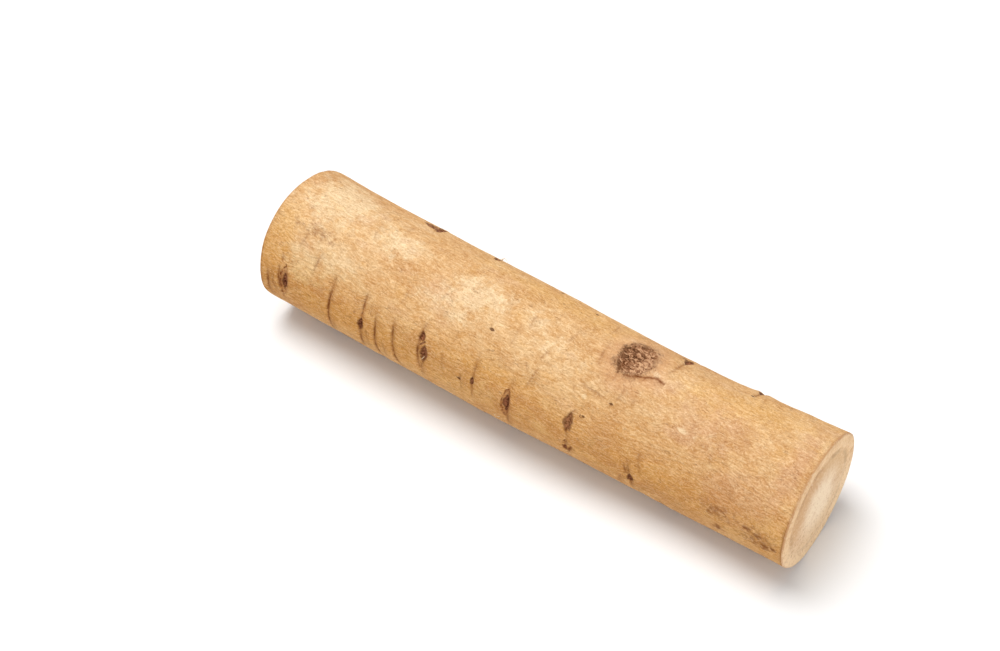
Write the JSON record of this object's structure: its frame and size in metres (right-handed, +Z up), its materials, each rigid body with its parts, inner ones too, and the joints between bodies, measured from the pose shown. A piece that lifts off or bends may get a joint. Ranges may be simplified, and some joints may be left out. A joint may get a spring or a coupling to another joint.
{
  "type": "burdock root",
  "caption": "Cut length of burdock root with ochre bark, creases, side-root scars and pale cut ends, lying on its side.",
  "frame": {"origin": "centre of the root's bounding box, on the surface that the root lies on", "axes": "+X along the root to its thicker, squarely cut end, +Y to its back, +Z up"},
  "size_m": [0.16, 0.039, 0.0371],
  "materials": {
    "bark": "dry matt ochre bark with felted fibres, darker creases and scars, and cream cut ends"
  },
  "bodies": {
    "root": {"burdock_root": "bark"}
  },
  "joints": []
}
